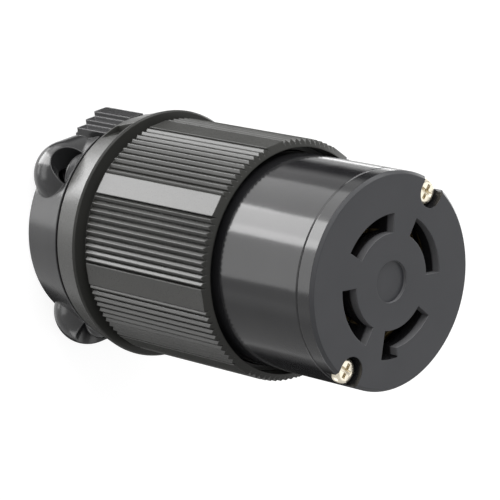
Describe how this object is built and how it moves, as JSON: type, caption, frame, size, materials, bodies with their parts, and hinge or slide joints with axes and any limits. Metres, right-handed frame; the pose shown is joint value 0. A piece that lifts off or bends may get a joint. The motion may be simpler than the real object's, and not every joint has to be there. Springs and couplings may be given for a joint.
{
  "type": "locking cord connector",
  "caption": "Round female power connector for a flexible cord, with curved locking blade slots, a smooth nose, a ribbed grip sleeve and a screw-down cord clamp.",
  "frame": {"origin": "on the connector's axis, in the plane of the cord clamp's rear end", "axes": "+Z along the axis, from the cord end to the mating face; the cord clamp closes along +X"},
  "size_m": [0.0584, 0.0584, 0.095],
  "materials": {
    "face_plastic": "matte moulded dark grey",
    "nose_plastic": "glossy moulded black",
    "grip_plastic": "satin moulded black",
    "jaw_plastic": "satin moulded black",
    "seal_rubber": "soft black",
    "contact_brass": "stamped",
    "terminal_brass": "turned",
    "ground_green": "green",
    "wire_plate": "plated",
    "screw_nickel": "nickel plated",
    "clamp_steel": "zinc plated"
  },
  "bodies": {
    "housing": {"face_plate": "face_plastic", "contact_carrier": "nose_plastic", "terminal_block": "nose_plastic", "line_contact_1": "contact_brass", "line_contact_2": "contact_brass", "line_contact_3": "contact_brass", "ground_contact": "contact_brass", "line_wire_plate_1": "wire_plate", "line_wire_plate_2": "wire_plate", "line_wire_plate_3": "wire_plate", "ground_wire_plate": "wire_plate", "line_terminal_screws": "terminal_brass", "ground_terminal_screw": "ground_green", "assembly_screws": "screw_nickel", "threaded_inserts": "contact_brass", "grip_housing": "grip_plastic", "cord_seal": "seal_rubber", "fixed_jaw": "jaw_plastic", "clamp_screws": "clamp_steel"},
    "clamp_jaw": {"sliding_jaw": "jaw_plastic", "clamp_nuts": "clamp_steel"}
  },
  "joints": [
    {"name": "clamp_slide", "type": "slide", "parent": "housing", "child": "clamp_jaw", "axis": [1, 0, 0], "range_m": [0, 0.0031]}
  ]
}
